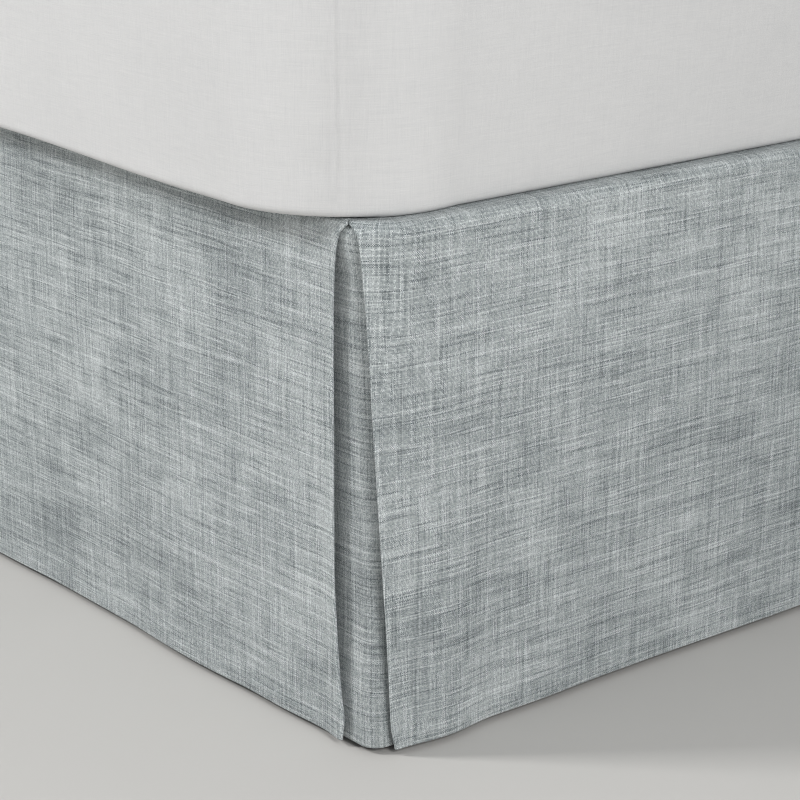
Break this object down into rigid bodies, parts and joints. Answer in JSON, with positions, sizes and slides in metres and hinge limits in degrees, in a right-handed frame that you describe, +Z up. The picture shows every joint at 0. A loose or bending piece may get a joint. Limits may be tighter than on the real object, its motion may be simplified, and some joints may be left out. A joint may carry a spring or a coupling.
{
  "type": "bed skirt on a box base with its mattress",
  "caption": "Tailored cloth bed skirt with split corner pleats, hanging from a padded box base and held in place by the mattress above it.",
  "frame": {"origin": "on the floor, under the middle of the whole bed", "axes": "+Z up, -Y towards the foot of the bed, +Y towards the open head end, +X to the side at the right of someone who stands at the foot facing the bed"},
  "size_m": [1.524, 2.032, 0.6663],
  "materials": {
    "slate_cloth": "matte slubbed linen-look plain weave, slate grey with a blue cast",
    "platform_cotton": "plain off-white cotton sheeting",
    "base_cover": "plain pale upholstery cloth over padding",
    "white_cover": "smooth white cotton sateen, stretched",
    "leg_wood": "dark stained, satin",
    "plate_steel": "plain zinc plated",
    "glide_plastic": "matte black"
  },
  "bodies": {
    "root": {"foot_panel": "slate_cloth", "side_panel_right": "slate_cloth", "side_panel_left": "slate_cloth", "corner_underlay_right": "slate_cloth", "corner_underlay_left": "slate_cloth", "platform": "platform_cotton", "box_base": "base_cover", "mattress": "white_cover", "leg_1": "leg_wood", "leg_2": "leg_wood", "leg_3": "leg_wood", "leg_4": "leg_wood", "leg_5": "leg_wood", "leg_6": "leg_wood", "leg_plate_1": "plate_steel", "leg_plate_2": "plate_steel", "leg_plate_3": "plate_steel", "leg_plate_4": "plate_steel", "leg_plate_5": "plate_steel", "leg_plate_6": "plate_steel", "glide_1": "glide_plastic", "glide_2": "glide_plastic", "glide_3": "glide_plastic", "glide_4": "glide_plastic", "glide_5": "glide_plastic", "glide_6": "glide_plastic"}
  },
  "joints": []
}
